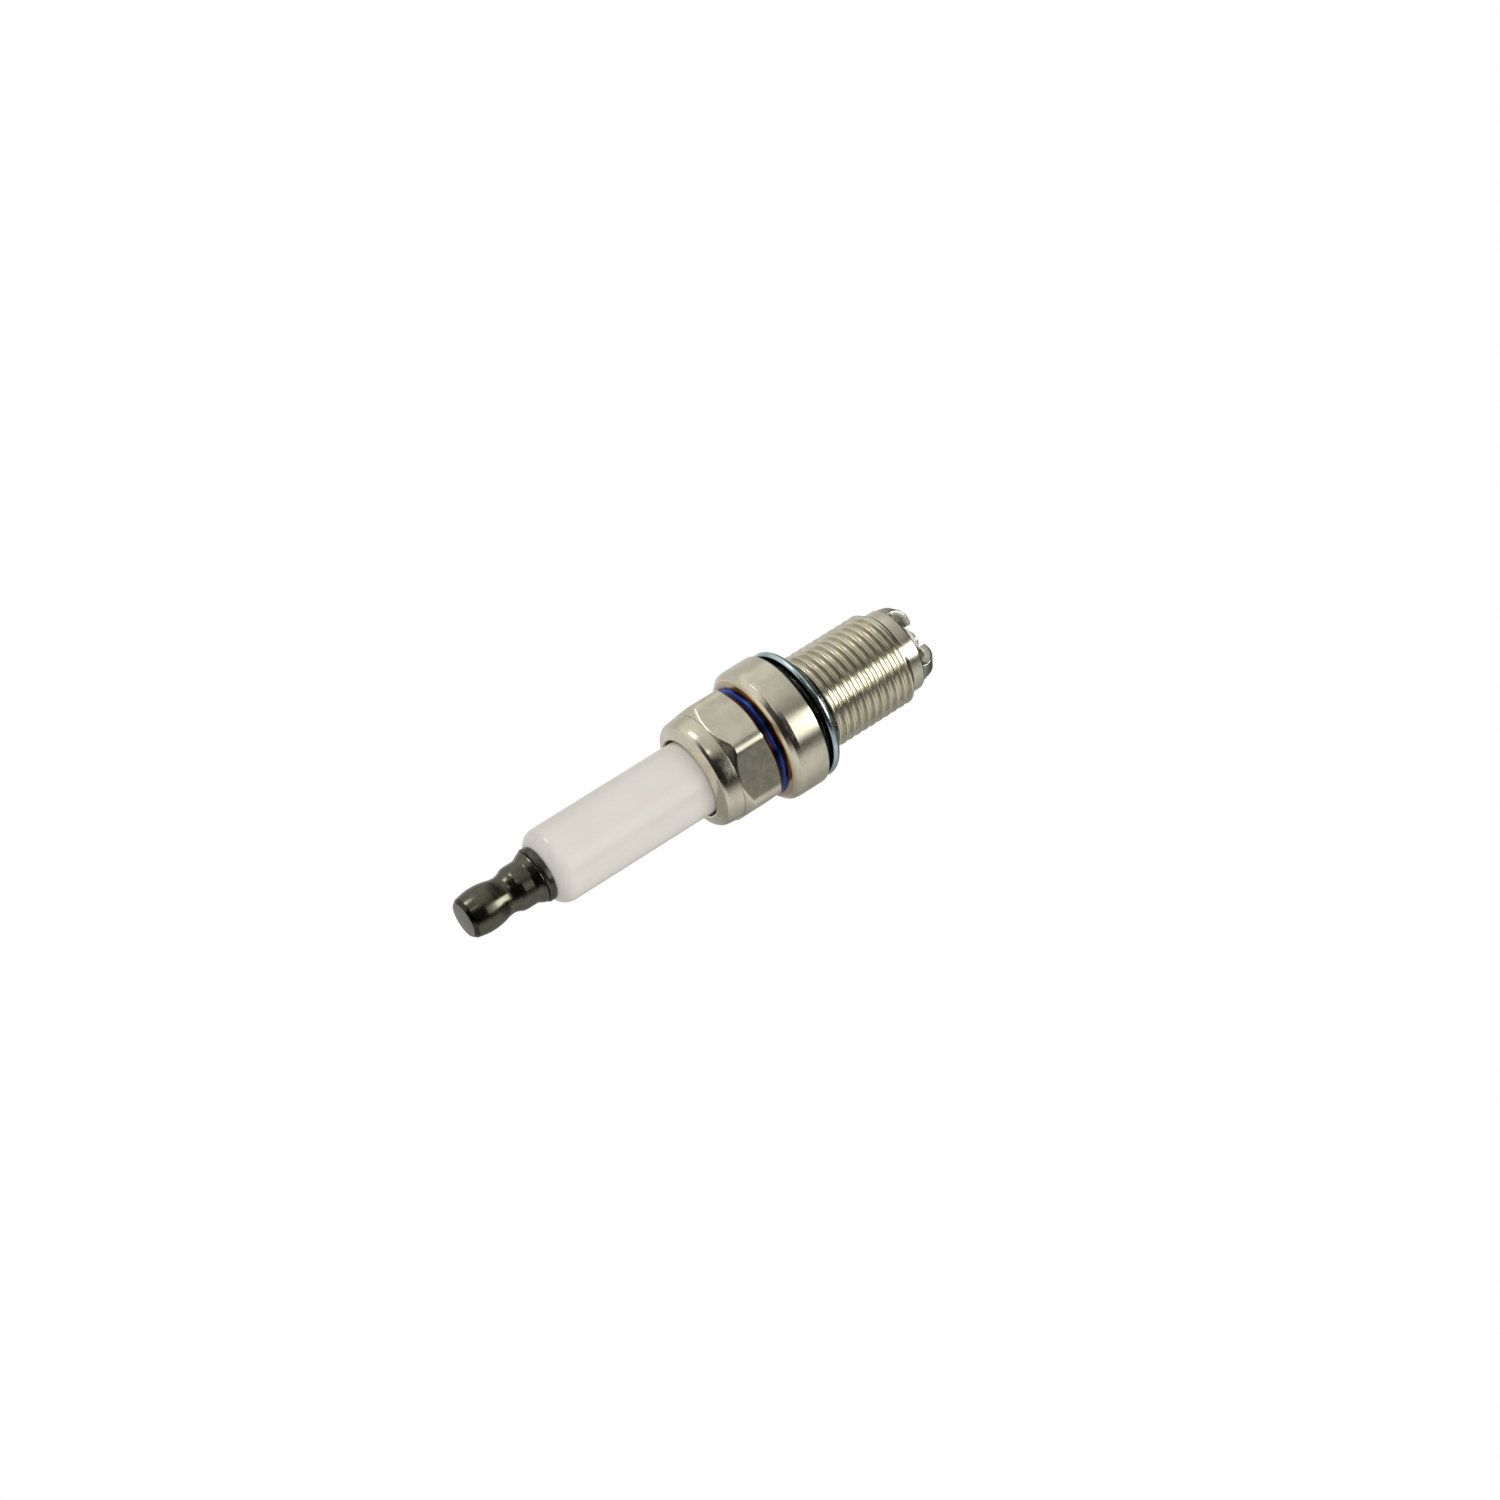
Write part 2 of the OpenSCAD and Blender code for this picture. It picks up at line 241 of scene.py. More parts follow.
def shell_piece():
    """Pilot, helical thread, neck, seat collar, groove, hexagon and rolled lip, round a stepped bore."""
    below = filleted([
        (LEG_BORE_R, SHELL_END), (PILOT_R, SHELL_END, 0.35), (PILOT_R, THREAD_END),
    ])
    thread_rows = ROWS_PER_TURN * round((THREAD_TOP - THREAD_END) / PITCH)
    thread = rows_between(THREAD_ROOT_R, THREAD_END, THREAD_TOP, thread_rows)
    collar = filleted([
        (NECK_R, THREAD_TOP), (NECK_R, 0.0, 0.25), (COLLAR_R - 0.5, 0.0, 0.15), (COLLAR_R, 0.5, 0.25),
        (COLLAR_R, COLLAR_TOP - 0.3, 0.2), (9.6, 4.95, 0.15), (9.08, 5.5, 0.3),
        (SHOULDER_R, SHOULDER_Z - 0.14, 0.2), (GROOVE_R + 0.4, SHOULDER_Z + 0.04, 0.2),
        (GROOVE_R, SHOULDER_Z + 0.26, 0.2), (GROOVE_R, HEX_LOW - 0.3, 0.2),
        (GROOVE_R + 0.25, HEX_LOW, 0.15), (HEX_R - 0.12, HEX_LOW),
    ])
    hexagon = []
    for k in range(HEX_ROWS + 1):
        z = HEX_LOW + (HEX_HIGH - HEX_LOW) * k / HEX_ROWS
        edge = min((z - HEX_LOW) / LOWER_BEVEL, (HEX_HIGH - z) / HEX_BEVEL, 1.0)
        hexagon.append((HEX_R + edge * (HEX_CORNER_R - HEX_R), z))
    lip = filleted([
        (HEX_R - 0.12, HEX_HIGH), (LIP_R, HEX_HIGH + 0.06, 0.06), (7.79, LIP_TOP - 1.6, 0.4),
        (7.68, LIP_TOP - 1.05, 0.5), (7.42, LIP_TOP - 0.68, 0.4), (6.9, LIP_TOP - 0.42, 0.6),
        (LIP_BORE_R + 0.18, LIP_TOP, 0.15), (LIP_BORE_R, LIP_TOP - 0.12, 0.1), (LIP_BORE_R - 0.02, 15.55),
        (BODY_BORE_R, 14.9), (BODY_BORE_R, 1.0), (LEG_BORE_R, -0.4), (LEG_BORE_R, -8.0),
        (LEDGE_R, -8.5), (LEDGE_R, -10.0), (LEG_BORE_R, -10.8), (LEG_BORE_R, SHELL_END + 0.15),
    ])
    outline = below + thread + collar + hexagon + lip
    first_thread = len(below)
    first_hex = first_thread + len(thread) + len(collar)
    last_hex = first_hex + len(hexagon)

    def shape(i, r, z, angle):
        if first_thread <= i < first_thread + len(thread):
            turns = (z - FIRST_CREST) / PITCH - angle / (2 * math.pi) - 0.25
            run_out = smooth_step((THREAD_TOP - z) / 0.8)
            lead_in = smooth_step((z - THREAD_END - 0.05) / 0.75)
            crest = THREAD_DEPTH * thread_form(turns) * run_out * lead_in
            ends = PILOT_R + (r - PILOT_R) * smooth_step((z - THREAD_END) / 0.6)
            return ends + crest
        if first_hex <= i < last_hex:
            turned = (math.degrees(angle) + 90.0) % 60.0
            flat = HEX_R / math.cos(math.radians(abs(turned - 30.0)))
            return smooth_min(flat, r, 0.22)
        return r

    piece = lathe("shell_body", outline, shape)
    soften(piece, first_thread * SEGMENTS, (first_thread + len(thread)) * SEGMENTS)
    return piece


# ---------------------------------------------------------------- other turned pieces
INSULATOR_R = 5.4
INSULATOR_BODY_R = 6.2  # the wide part inside the shell
INSULATOR_LEG_R = 4.6
INSULATOR_BORE_R = 2.1
INSULATOR_TIP_BORE_R = 1.28
CROWN = 2.2             # radius of the rounded top edge


def insulator_piece():
    """The whole ceramic, from the nose inside the shell's end to the rounded crown under the terminal."""
    nose = INSULATOR_LOW.z
    top = INSULATOR_HIGH.z
    outline = filleted([
        (INSULATOR_TIP_BORE_R, nose), (2.2, nose, 0.4), (3.7, -10.0), (3.75, -8.05),
        (INSULATOR_LEG_R, -7.55), (INSULATOR_LEG_R, -0.25), (INSULATOR_BODY_R, 1.15),
        (INSULATOR_BODY_R, 10.2), (INSULATOR_R, 11.05), (INSULATOR_R, top - CROWN),
    ]) + arc(INSULATOR_R - CROWN, top - CROWN, CROWN, 1, 68, 16) + filleted([
        (3.85, top - 0.09), (3.6, top, 0.2), (INSULATOR_BORE_R, top), (INSULATOR_BORE_R, -5.6),
        (INSULATOR_TIP_BORE_R, -6.3), (INSULATOR_TIP_BORE_R, nose + 0.1),
    ])
    return lathe("glazed_insulator", outline, segments=192)


NUT_BORE_R = 2.04
NUT_THREAD_HEIGHT = 0.2
NUT_BORE_ROWS = 200


def terminal_nut_piece():
    """A foot flange, two lands with a waist between them, a rounded end, and a threaded blind bore."""
    z = NUT_LOW.z
    top = NUT_HIGH.z
    outer = filleted([
        (2.35, z), (3.6, z, 0.08), (3.68, z + 0.16, 0.1), (3.58, z + 0.45, 0.3), (3.3, z + 0.95, 1.0),
        (NUT_R, z + 1.25, 1.5), (NUT_R, z + 2.9, 2.5), (3.09, z + 3.45, 1.5), (2.87, z + 3.85, 0.8),
        (2.69, z + 4.4, 2.0), (2.66, z + 4.9, 4.0), (2.76, z + 5.6, 5.0), (2.94, z + 6.2, 5.0),
        (3.1, z + 7.05, 6.0), (NUT_R, z + 7.8, 6.0), (NUT_R, z + 8.8, 5.0), (3.08, z + 9.45, 5.0),
        (2.98, z + 10.0, 3.0), (2.87, z + 10.55, 0.15), (2.45, top, 0.12), (0.0, top),
    ])
    bore_low = z + 0.35
    bore_top = STUD_HIGH.z + 0.5
    bore = [(NUT_BORE_R, bore_top)]
    bore += reversed(rows_between(NUT_BORE_R, bore_low, bore_top, NUT_BORE_ROWS))
    bore += [(NUT_BORE_R, bore_low)]
    outline = [(0.0, bore_top + 0.95)] + bore + outer

    def shape(i, r, height, angle):
        if 1 <= i <= len(bore):
            fade = smooth_step((height - bore_low) / 0.5)
            turns = height / STUD_PITCH - angle / (2 * math.pi)
            return r + NUT_THREAD_HEIGHT * thread_form(turns) * fade
        return r

    return lathe("screw_terminal", outline, shape, segments=144)


STUD_NECK_R = 1.72
STUD_ROOT_R = 1.55
STUD_THREAD_HEIGHT = 0.4
STUD_ROWS = 260
FLANGE_R = 3.92


def terminal_stud_piece():
    """A shank in the insulator's bore, the flange that shows, and an M4 thread inside the nut."""
    foot = STUD_LOW.z
    top = STUD_HIGH.z
    flange = INSULATOR_HIGH.z
    flange_top = NUT_LOW.z - 0.05
    thread_low = NUT_LOW.z + 0.5
    below = filleted([
        (0.0, foot), (1.95, foot, 0.3), (1.95, foot + 3.0), (1.75, foot + 3.3), (1.75, flange - 0.01),
        (FLANGE_R, flange, 0.12), (FLANGE_R, flange_top - 0.25, 0.12), (3.68, flange_top, 0.1),
        (STUD_NECK_R, flange_top, 0.15), (STUD_NECK_R, thread_low),
    ])
    thread = rows_between(STUD_ROOT_R, thread_low, top - 0.05, STUD_ROWS)
    outline = below + thread + [(1.4, top), (0.0, top)]
    first = len(below)

    def shape(i, r, z, angle):
        if first <= i < first + len(thread):
            turns = z / STUD_PITCH - angle / (2 * math.pi)
            fade = smooth_step((top - z) / 0.6) * smooth_step((z - thread_low) / 0.5)
            neck = (STUD_NECK_R - r) * (1 - fade) * smooth_step((thread_low + 0.7 - z) / 0.7)
            return r + neck + STUD_THREAD_HEIGHT * thread_form(turns) * fade
        return r

    return lathe("stud_with_flange", outline, shape, segments=144)


GASKET_HALF = 0.6       # half its thickness
GASKET_BORE_R = THREAD_R - 0.2


def gasket_piece():
    """A ring of sheet metal folded on itself: a full round outer edge and two lips that meet inside.
    It hangs from one point of its rim, on the joint's axis."""
    half = GASKET_HALF
    inner = GASKET_BORE_R
    outer = GASKET_HIGH.x
    outline = arc(outer - half, 0.0, half, -90, 90, 16) + filleted([
        (8.2, half - 0.02, 0.4), (7.7, half - 0.08, 0.3), (inner + 0.25, half - 0.02, 0.25),
        (inner, half - 0.25, 0.15), (inner + 0.02, 0.14, 0.1), (inner + 0.45, 0.04, 0.08),
        (inner + 0.45, -0.05, 0.08), (inner + 0.08, -0.16, 0.1), (inner + 0.03, 0.25 - half, 0.15),
        (inner + 0.35, 0.01 - half, 0.25), (7.8, 0.05 - half, 0.3), (8.2, -half, 0.3),
    ])
    piece = lathe("folded_gasket", outline, segments=192)
    pivot = Vector(GASKET_JOINT["pos_m"])
    tilt = math.radians(GASKET_JOINT["range_deg"][1])
    onto_axis = Matrix.Translation((0.0, -pivot.y, 0.0))
    piece.data.transform(Matrix.Translation(pivot) @ Matrix.Rotation(tilt, 4, "X") @ onto_axis)
    return piece


TIP_R = 1.25
TIP_HEAD_R = 1.95


def centre_electrode_piece():
    """A plain pin with a wider head in the insulator's bore."""
    low, high = TIP_LOW.z, TIP_HIGH.z
    outline = filleted([
        (0.0, low), (TIP_R, low, 0.12), (TIP_R, -6.33), (TIP_HEAD_R, -5.73), (TIP_HEAD_R, high - 0.4),
        (TIP_HEAD_R - 0.4, high), (0.0, high),
    ])
    return lathe("centre_electrode_tip", outline, segments=96)


# ---------------------------------------------------------------- ground electrodes
STRAPS = 3
FIRST_STRAP = 95        # degrees from +X
STRAP_OUTER_R = 5.85
STRAP_THICK, STRAP_WIDTH = 1.2, 2.4
STRAP_BEND = 2.7        # radius of the strap's outer side
STRAP_TIP_R = 2.65
STRAP_CORNER = 0.24
BEND_STEPS = 10
TIP_STEPS = 6
WELD_RINGS = 4          # of the path's points, from the top, that the weld can widen
WELD_HEIGHT = 0.7
WELD_FLARE_THROUGH, WELD_FLARE_ACROSS = 0.032, 0.208


def strap_path(low, high):
    """Points and outward normals in the (radius, height) plane.
    They run down from the weld, round the bend and in."""
    middle = STRAP_THICK / 2
    path = []
    for z in (high + 0.35, high + 0.1, high - 0.1):
        path.append((Vector((STRAP_OUTER_R - middle, z)), Vector((1.0, 0.0))))
    centre = Vector((STRAP_OUTER_R - STRAP_BEND, low + STRAP_BEND))
    for k in range(BEND_STEPS + 1):
        a = math.radians(-90 * k / BEND_STEPS)
        radial = Vector((math.cos(a), math.sin(a)))
        path.append((centre + radial * (STRAP_BEND - middle), radial))
    for k in range(1, TIP_STEPS + 1):
        r = centre.x + (STRAP_TIP_R - centre.x) * k / TIP_STEPS
        path.append((Vector((r, low + middle)), Vector((0.0, -1.0))))
    return path


def strap_section():
    """A rectangle with rounded corners: x through the strap, y across it."""
    section = []
    for sx, sy, start in ((1, 1, 0), (-1, 1, 90), (-1, -1, 180), (1, -1, 270)):
        for k in range(5):
            a = math.radians(start + 22.5 * k)
            x = sx * (STRAP_THICK / 2 - STRAP_CORNER) + STRAP_CORNER * math.cos(a)
            y = sy * (STRAP_WIDTH / 2 - STRAP_CORNER) + STRAP_CORNER * math.sin(a)
            section.append((x, y))
    return section


def toward_zero(value, amount):
    """The value brought nearer to zero by an amount, and no further than zero."""
    return value - math.copysign(min(amount, abs(value)), value)


def ground_electrode_piece(index):
    """A strap with rounded edges, welded to the shell's end and bent in to face the centre electrode."""
    low, high = box_mm(f"ground_electrode_{index}")
    angle = math.radians(FIRST_STRAP + 360 / STRAPS * (index - 1))
    outward = Vector((math.cos(angle), math.sin(angle), 0.0))
    tangential = Vector((-math.sin(angle), math.cos(angle), 0.0))
    path = strap_path(low.z, high.z)
    section = strap_section()
    vertices, rings = [], []

    def add_ring(spots):
        rings.append(range(len(vertices), len(vertices) + len(section)))
        for spot, across in spots:
            vertices.append(outward * spot.x + tangential * across + Vector((0, 0, spot.y)))

    for j, (point, normal) in enumerate(path):
        weld = smooth_step((point.y - high.z + WELD_HEIGHT) / WELD_HEIGHT) if j < WELD_RINGS else 0.0
        through = 1 + weld * WELD_FLARE_THROUGH
        across = 1 + weld * WELD_FLARE_ACROSS
        add_ring([(point + normal * (x * through), y * across) for x, y in section])
    end, end_normal = path[-1]
    for inset, push in ((0.06, 0.10), (0.16, 0.15)):        # the rounded end
        point = end - Vector((push, 0.0))
        add_ring([(point + end_normal * toward_zero(x, inset), toward_zero(y, inset)) for x, y in section])
    faces = []
    for a, b in zip(rings, rings[1:]):
        for k in range(len(section)):
            n = (k + 1) % len(section)
            faces.append((a[k], a[n], b[n], b[k]))
    faces.append(tuple(reversed(rings[0])))
    faces.append(tuple(rings[-1]))
    return mesh_object(f"ground_strap_{index}", vertices, faces)


# ---------------------------------------------------------------- shader nodes
def fill(tree, node, values):
    """Puts numbers and other nodes' outputs into a node's inputs, in order."""
    for k, value in enumerate(values):
        if isinstance(value, (int, float)):
            node.inputs[k].default_value = value
        else:
            tree.links.new(value, node.inputs[k])


def maths(tree, operation, *values):
    node = tree.nodes.new("ShaderNodeMath")
    node.operation = operation
    fill(tree, node, values)
    return node.outputs[0]


def colour_ramp(tree, value, stops):
    """A ramp node with stops of (position, colour), fed by a value."""
    node = tree.nodes.new("ShaderNodeValToRGB")
    elements = node.color_ramp.elements
    while len(elements) < len(stops):
        elements.new(0.5)
    for element, (position, colour) in zip(elements, stops):
        element.position = position
        element.color = (*colour, 1.0)
    tree.links.new(value, node.inputs["Fac"])
    return node


# ---------------------------------------------------------------- materials
class Nodes:
    """A principled material with short calls for the nodes that feed it. Texture space is in millimetres."""

    def __init__(self, name, colour, metallic, roughness, **constants):
        self.material = bpy.data.materials.new(name)
        self.material.use_nodes = True
        self.tree = self.material.node_tree
        self.shader = self.tree.nodes["Principled BSDF"]
        self.set("Base Color", (*colour, 1.0))
        self.set("Metallic", metallic)
        self.set("Roughness", roughness)
        for socket, value in constants.items():
            self.set(socket.replace("_", " "), value)
        coordinates = self.tree.nodes.new("ShaderNodeTexCoord")
        scale = self.tree.nodes.new("ShaderNodeVectorMath")
        scale.operation = "SCALE"
        scale.inputs["Scale"].default_value = 1 / MM
        self.link(coordinates.outputs["Object"], scale.inputs[0])
        self.place = scale.outputs[0]
        self.normal = coordinates.outputs["Normal"]

    def set(self, socket, value):
        self.shader.inputs[socket].default_value = value

    def link(self, output, target):
        self.tree.links.new(output, target)

    def feed(self, socket, output):
        self.link(output, self.shader.inputs[socket])

    def maths(self, operation, *values):
        return maths(self.tree, operation, *values)

    def times(self, a, b):
        return self.maths("MULTIPLY", a, b)

    def split(self, vector):
        node = self.tree.nodes.new("ShaderNodeSeparateXYZ")
        self.link(vector, node.inputs[0])
        return node.outputs

    def join(self, x, y, z):
        node = self.tree.nodes.new("ShaderNodeCombineXYZ")
        fill(self.tree, node, (x, y, z))
        return node.outputs[0]

    def radius(self):
        x, y, _ = self.split(self.place)
        return self.maths("SQRT", self.maths("ADD", self.times(x, x), self.times(y, y)))

    def height(self):
        return self.split(self.place)[2]

    def noise(self, scale, detail=3.0, vector=None, roughness=0.5):
        node = self.tree.nodes.new("ShaderNodeTexNoise")
        node.inputs["Scale"].default_value = scale
        node.inputs["Detail"].default_value = detail
        node.inputs["Roughness"].default_value = roughness
        self.link(vector if vector is not None else self.place, node.inputs["Vector"])
        return node.outputs["Fac"]

    def remap(self, value, low, high, to_low, to_high, smooth=False):
        node = self.tree.nodes.new("ShaderNodeMapRange")
        node.interpolation_type = "SMOOTHSTEP" if smooth else "LINEAR"
        self.link(value, node.inputs["Value"])
        ends = {"From Min": low, "From Max": high, "To Min": to_low, "To Max": to_high}
        for socket, number in ends.items():
            node.inputs[socket].default_value = number
        return node.outputs["Result"]

    def ramp(self, value, stops):
        return colour_ramp(self.tree, value, stops).outputs["Color"]

    def mottle(self, scale, detail, dark, light):
        """A colour that drifts between two tones."""
        return self.ramp(self.noise(scale, detail), [(0.3, dark), (0.7, light)])

    def drift(self, scale, detail, low, high):
        """A number that drifts between two values."""
        return self.remap(self.noise(scale, detail), 0.3, 0.7, low, high)

    def mix(self, factor, a, b):
        node = self.tree.nodes.new("ShaderNodeMix")
        node.data_type = "RGBA"
        for socket, value in (("Factor", factor), ("A", a), ("B", b)):
            named = [s for s in node.inputs if s.name == socket]
            target = next(s for s in named if s.type == "RGBA" or socket == "Factor")
            if isinstance(value, tuple):
                target.default_value = (*value, 1.0)
            elif isinstance(value, (int, float)):
                target.default_value = value
            else:
                self.link(value, target)
        return next(s for s in node.outputs if s.type == "RGBA")

    def bump(self, height, strength, depth):
        """Bump with a depth in millimetres."""
        node = self.tree.nodes.new("ShaderNodeBump")
        node.inputs["Strength"].default_value = strength
        node.inputs["Distance"].default_value = depth * MM
        self.link(height, node.inputs["Height"])
        self.feed("Normal", node.outputs["Normal"])


NICKEL = (0.80, 0.765, 0.62)
NICKEL_DULL = (0.70, 0.665, 0.53)


def turned_lines(nodes, scale):
    """Fine tool lines: noise that varies with height and radius only."""
    return nodes.noise(scale, 2.0, nodes.join(nodes.radius(), 0.0, nodes.height()))


def nickel_plate():
    """Bright plate with a heat tint in the groove, and painted shade, nearly black, on the collar's lower
    edge just above the gasket.
    """
    nodes = Nodes("nickel_plate", NICKEL, 1.0, 0.2)
    patches = nodes.noise(0.45, 4.0)
    colour = nodes.ramp(patches, [(0.35, NICKEL_DULL), (0.65, NICKEL)])
    z = nodes.height()
    r = nodes.radius()
    along = nodes.maths("SUBTRACT", z, nodes.times(r, 0.4))
    wavy = nodes.maths("ADD", along, nodes.remap(patches, 0.3, 0.7, -0.04, 0.04))
    tint = nodes.ramp(nodes.remap(wavy, 2.0, 4.5, 0.0, 1.0), [
        (0.04, NICKEL), (0.10, (0.74, 0.54, 0.22)), (0.15, (0.60, 0.50, 0.38)), (0.28, (0.42, 0.34, 0.34)),
        (0.35, (0.015, 0.015, 0.07)), (0.44, (0.035, 0.11, 0.48)), (0.56, (0.025, 0.07, 0.38)),
        (0.63, (0.012, 0.02, 0.14)), (0.70, (0.012, 0.01, 0.03)), (0.83, (0.03, 0.012, 0.012)),
        (0.90, (0.50, 0.22, 0.05)), (0.96, NICKEL),
    ])
    in_groove = nodes.times(nodes.remap(along, 2.0, 2.1, 0.0, 1.0), nodes.remap(along, 4.36, 4.46, 1.0, 0.0))
    outside = nodes.remap(r, 7.2, 7.3, 0.0, 1.0)
    heated = nodes.mix(nodes.times(in_groove, outside), colour, tint)
    # painted shade: the collar's lower edge over the gasket is coloured nearly black, as if in shadow
    painted_gap_shade = nodes.times(nodes.remap(z, -0.3, -0.1, 0.0, 1.0), nodes.remap(z, 0.3, 0.5, 1.0, 0.0, smooth=True))
    nodes.feed("Base Color", nodes.mix(nodes.times(painted_gap_shade, outside), heated, (0.02, 0.02, 0.018)))
    lines = turned_lines(nodes, 9.0)
    smudge = nodes.noise(1.3, 5.0, roughness=0.6)
    nodes.feed("Roughness", nodes.remap(smudge, 0.3, 0.75, 0.13, 0.27))
    relief = nodes.maths("ADD", nodes.times(lines, 0.6), nodes.times(nodes.noise(4.0, 6.0), 0.5))
    smoother_thread = nodes.remap(z, -2.8, -2.2, 0.25, 1.0)
    nodes.bump(nodes.times(relief, smoother_thread), 0.22, 0.012)
    return nodes.material


def glazed_alumina():
    """Gloss glaze, with the nose inside the shell left bare."""
    nodes = Nodes("glazed_alumina", (0.83, 0.80, 0.75), 0.0, 0.07, IOR=1.5)
    bare = nodes.remap(nodes.height(), -10.0, -6.0, 1.0, 0.0, smooth=True)
    tone = nodes.mottle(0.12, 3.0, (0.80, 0.765, 0.715), (0.84, 0.81, 0.765))
    nodes.feed("Base Color", nodes.mix(bare, tone, (0.80, 0.75, 0.68)))
    nodes.feed("Roughness", nodes.maths("ADD", nodes.drift(0.8, 3.0, 0.05, 0.09), nodes.times(bare, 0.45)))
    nodes.bump(nodes.noise(1.1, 2.0), 0.25, 0.02)
    return nodes.material


def dark_plate():
    """Dark gloss plate, with painted shade making it darkest on the rim of the terminal's end."""
    nodes = Nodes("dark_plate", (0.13, 0.13, 0.09), 1.0, 0.16, Coat_Weight=0.5, Coat_Roughness=0.1)
    plate = nodes.mottle(0.9, 4.0, (0.085, 0.085, 0.058), (0.13, 0.13, 0.09))
    z = nodes.height()
    top = NUT_HIGH.z
    # painted shade: a near-black ring round the top of the terminal's end
    rim = nodes.times(nodes.remap(z, top - 0.65, top - 0.45, 0.0, 0.85, smooth=True),
                      nodes.remap(z, top - 0.06, top - 0.01, 1.0, 0.4, smooth=True))
    nodes.feed("Base Color", nodes.mix(rim, plate, (0.015, 0.015, 0.012)))
    nodes.feed("Roughness", nodes.drift(2.2, 4.0, 0.17, 0.26))
    nodes.bump(turned_lines(nodes, 7.0), 0.3, 0.012)
    return nodes.material


def stud_steel():
    nodes = Nodes("stud_steel", (0.25, 0.25, 0.2), 1.0, 0.22)
    nodes.feed("Base Color", nodes.mottle(1.0, 4.0, (0.07, 0.07, 0.055), (0.13, 0.13, 0.10)))
    nodes.feed("Roughness", nodes.drift(2.5, 4.0, 0.16, 0.3))
    nodes.bump(turned_lines(nodes, 8.0), 0.3, 0.01)
    return nodes.material


def zinc_plate():
    """Blue zinc plate, with painted shade, nearly black, on the face that looks up towards the seat."""
    nodes = Nodes("zinc_plate", (0.62, 0.72, 0.78), 1.0, 0.2)
    zinc = nodes.mottle(0.7, 4.0, (0.42, 0.60, 0.66), (0.66, 0.80, 0.82))
    # painted shade: faces that look up towards the seat are coloured nearly black, as if shaded by it
    painted_shade_facing_up = nodes.remap(nodes.split(nodes.normal)[2], 0.72, 0.92, 0.0, 1.0, smooth=True)
    nodes.feed("Base Color", nodes.mix(painted_shade_facing_up, zinc, (0.05, 0.06, 0.06)))
    nodes.feed("Roughness", nodes.drift(2.0, 4.0, 0.14, 0.3))
    nodes.bump(nodes.noise(2.5, 5.0), 0.3, 0.02)
    return nodes.material


def nickel_alloy():
    nodes = Nodes("nickel_alloy", (0.55, 0.54, 0.46), 1.0, 0.32)
    nodes.feed("Base Color", nodes.mottle(1.2, 5.0, (0.46, 0.455, 0.38), (0.62, 0.61, 0.52)))
    nodes.feed("Roughness", nodes.drift(3.0, 5.0, 0.24, 0.42))
    nodes.bump(nodes.noise(5.0, 6.0), 0.35, 0.015)
    return nodes.material


def inner_material(name, low, high, metallic, roughness, scale):
    """A plain mottled finish for the pieces that the shell and insulator hide."""
    nodes = Nodes(name, high, metallic, roughness)
    nodes.feed("Base Color", nodes.mottle(scale, 5.0, low, high))
    nodes.feed("Roughness", nodes.drift(scale * 2, 3.0, roughness * 0.8, min(roughness * 1.3, 1.0)))
    nodes.bump(nodes.noise(scale * 3, 4.0), 0.4, 0.02)
    return nodes.material


# ---------------------------------------------------------------- stage
WHITE = (1.0, 1.0, 1.0, 1.0)
FLOOR_REACH = 4.0       # metres from the middle to each side
FLOOR_Z = -0.6          # metres


def add_stage():
    """A plain white floor well below the plug. Only the camera sees it, so it lights nothing."""
    mesh = bpy.data.meshes.new("floor")
    corners = []
    for x, y in ((-1, -1), (1, -1), (1, 1), (-1, 1)):
        corners.append((x * FLOOR_REACH, y * FLOOR_REACH, FLOOR_Z))
    mesh.from_pydata(corners, [], [(0, 1, 2, 3)])
    floor = bpy.data.objects.new("floor", mesh)
    bpy.context.scene.collection.objects.link(floor)
    material = bpy.data.materials.new("pale_floor")
    material.use_nodes = True
    tree = material.node_tree
    tree.nodes.clear()
    glow = tree.nodes.new("ShaderNodeEmission")
    glow.inputs["Color"].default_value = WHITE
    output = tree.nodes.new("ShaderNodeOutputMaterial")
    tree.links.new(glow.outputs[0], output.inputs["Surface"])
    mesh.materials.append(material)
    floor.visible_diffuse = False
    floor.visible_glossy = False
    floor.visible_transmission = False
    floor.visible_shadow = False


TENT_COLOUR = (1.0, 0.985, 0.955, 1.0)
TURNS = (-180, 180)     # degrees: 0 is towards the camera, and it grows towards -X
RISES = (-90, 90)       # degrees above the horizon
PANEL_DARKNESS = 0.9    # how much of the tent's light a dark panel takes away
SOFT_LIGHT = 0.69       # what matt surfaces see
SOFT_LIGHT_SLOPE = 0.035    # its change from the middle towards +X


def by_angle(tree, value, stops, reach):
    """Brightness by angle: stops are (angle in degrees, brightness), over an angle range."""
    low, high = reach
    share = maths(tree, "DIVIDE", maths(tree, "SUBTRACT", value, low), high - low)
    grey = [((angle - low) / (high - low), (level, level, level)) for angle, level in stops]
    node = colour_ramp(tree, share, grey)
    node.color_ramp.interpolation = "EASE"
    return node.outputs["Color"]


def panel(tree, turn, rise, turn_stops, rise_stops):
    """A part of the tent: its brightness by turn, times its brightness by rise."""
    across = by_angle(tree, turn, turn_stops, TURNS)
    upward = by_angle(tree, rise, rise_stops, RISES)
    return maths(tree, "MULTIPLY", across, upward)


